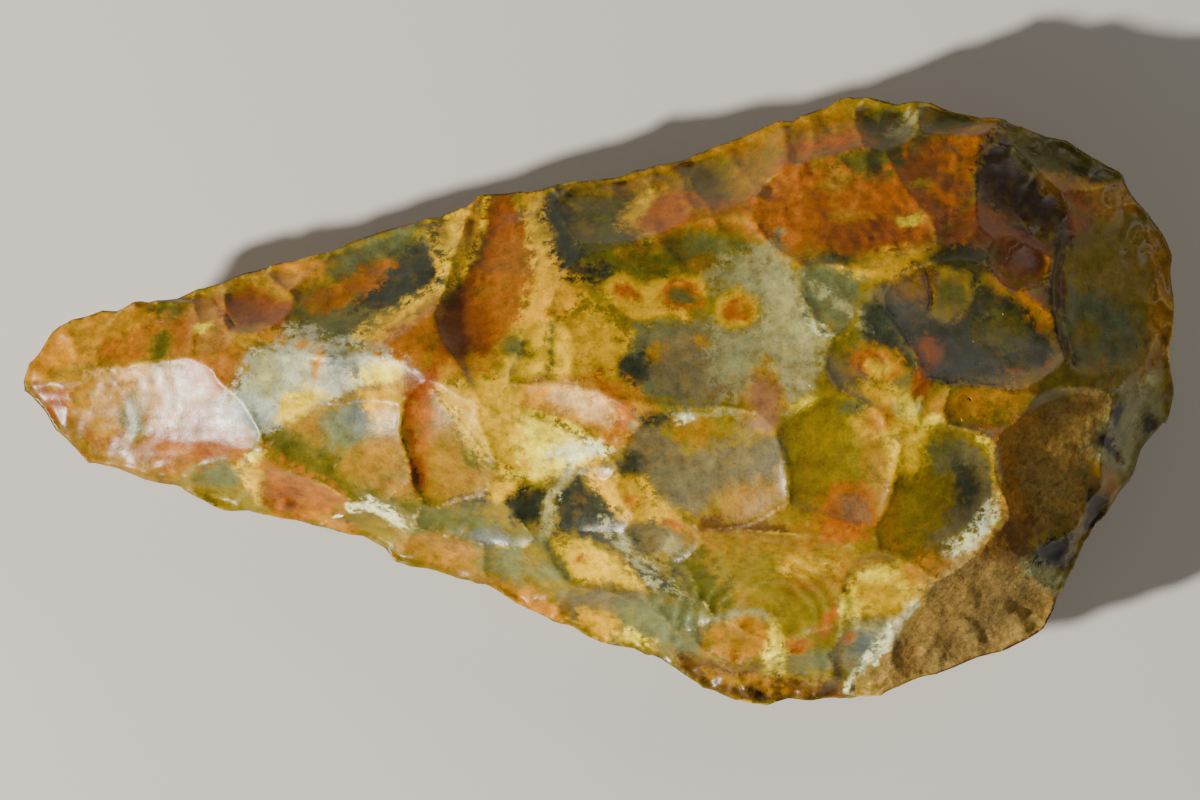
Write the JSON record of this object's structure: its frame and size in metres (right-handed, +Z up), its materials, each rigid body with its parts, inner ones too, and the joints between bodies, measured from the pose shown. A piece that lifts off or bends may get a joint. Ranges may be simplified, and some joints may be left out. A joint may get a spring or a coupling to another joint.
{
  "type": "stone hand axe",
  "caption": "Large pointed hand axe knapped from flint, teardrop outline with scalloped cutting edges, a thick rounded butt that keeps some chalky rind, lying on its back face.",
  "frame": {"origin": "on the table, under the middle of the footprint", "axes": "+X along the length towards the butt, so the point is at -X; +Z up, out of the front face"},
  "size_m": [0.184, 0.0974, 0.047],
  "materials": {
    "flint": "glossy stained flint with a patch of dull sandy rind at the butt"
  },
  "bodies": {
    "root": {"hand_axe": "flint"}
  },
  "joints": []
}
